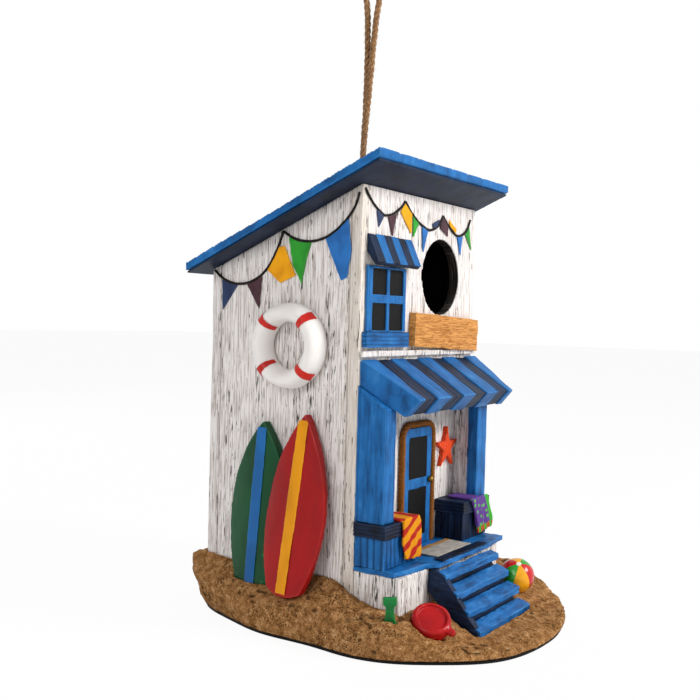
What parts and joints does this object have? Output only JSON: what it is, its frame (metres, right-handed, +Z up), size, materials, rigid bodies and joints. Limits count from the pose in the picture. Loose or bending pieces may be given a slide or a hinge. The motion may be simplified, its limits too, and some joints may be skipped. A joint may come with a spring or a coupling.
{
  "type": "birdhouse",
  "caption": "Hanging birdhouse shaped as a beach hut: walled nest box with round entrance, lean-to roof, porch with awning and steps, sand base, twine loop and rear clean-out plug.",
  "frame": {"origin": "on the ground under the middle of the base", "axes": "+X to the right seen from the front, +Y from the porch towards the back wall, +Z up; the front faces -Y"},
  "size_m": [0.146, 0.177, 0.3195],
  "materials": {
    "white_boards": "weathered white paint with dark streaks over cast resin boards",
    "nest_wood": "bare wood",
    "sand": "grainy cast resin painted as sand with dark specks",
    "black_pad": "matt black",
    "blue_paint": "bright blue satin paint, dry brushed along raised lines",
    "navy_paint": "dark navy satin paint",
    "dark_pane": "black gloss paint with faint streaks",
    "door_knob": "dull brass paint",
    "brown_rope": "twisted brown rope, dark between its strands",
    "jute": "loosely twisted jute",
    "washer_steel": "plain",
    "sign_wood": "orange tan stain with darker grain",
    "bunting_cord": "black",
    "pennant_navy": "navy paint",
    "pennant_plum": "plum paint",
    "pennant_yellow": "yellow paint with darker edge",
    "pennant_green": "green paint",
    "pennant_blue": "blue paint",
    "starfish_red": "orange red paint, pitted",
    "mat_weave": "cast weave in grey white with a tan stripe",
    "striped_towel": "yellow and red slanting stripes",
    "dotted_towel": "purple with green dots and a checked hem",
    "ring_white": "white paint, worn at its edges",
    "ring_red": "red paint",
    "board_green": "green gloss paint",
    "board_red": "red gloss paint",
    "stripe_blue": "blue gloss paint",
    "stripe_yellow": "yellow gloss paint",
    "ball_panels": "red, yellow and green panels with a white spot",
    "spade_green": "green gloss paint",
    "dish_red": "red paint with worn edges",
    "plug_resin": "weathered white paint"
  },
  "bodies": {
    "house": {"awning_blue_boards": "blue_paint", "awning_core": "blue_paint", "awning_navy_boards": "navy_paint", "back_wall": "white_boards", "base_pad": "black_pad", "beach_ball": "ball_panels", "bunting_cords": "bunting_cord", "cap_rails": "navy_paint", "deck_nosing": "navy_paint", "door_knob": "door_knob", "door_mat": "mat_weave", "door_panes": "dark_pane", "door_rope_trim": "brown_rope", "door_slab": "blue_paint", "dotted_towel": "dotted_towel", "front_wall": "white_boards", "green_board_stripe": "stripe_blue", "green_surfboard": "board_green", "hanging_twine": "jute", "hood_blue_boards": "blue_paint", "hood_navy_boards": "navy_paint", "ledge_board": "white_boards", "left_half_wall": "blue_paint", "left_post": "blue_paint", "left_wall": "white_boards", "life_ring": "ring_white", "life_ring_bands": "ring_red", "nest_floor": "nest_wood", "pennants_blue": "pennant_blue", "pennants_green": "pennant_green", "pennants_navy": "pennant_navy", "pennants_plum": "pennant_plum", "pennants_yellow": "pennant_yellow", "porch_deck": "blue_paint", "porch_plinth": "white_boards", "porch_side_wall": "white_boards", "red_board_stripe": "stripe_yellow", "red_surfboard": "board_red", "right_half_wall": "blue_paint", "right_post": "blue_paint", "right_wall": "white_boards", "roof_board": "blue_paint", "roof_lining": "navy_paint", "sand_base": "sand", "sign_board": "sign_wood", "starfish": "starfish_red", "step_risers": "navy_paint", "step_stringers": "navy_paint", "step_treads": "blue_paint", "striped_towel": "striped_towel", "toy_dish": "dish_red", "toy_spade": "spade_green", "twine_knot": "jute", "twine_washer": "washer_steel", "window_frame": "blue_paint", "window_hood": "navy_paint", "window_panes": "dark_pane", "window_sill": "blue_paint"},
    "plug": {"cleanout_plug": "plug_resin"}
  },
  "joints": [
    {"name": "plug_slide", "type": "slide", "parent": "house", "child": "plug", "axis": [0, 1, 0], "range_m": [0, 0.03]}
  ]
}
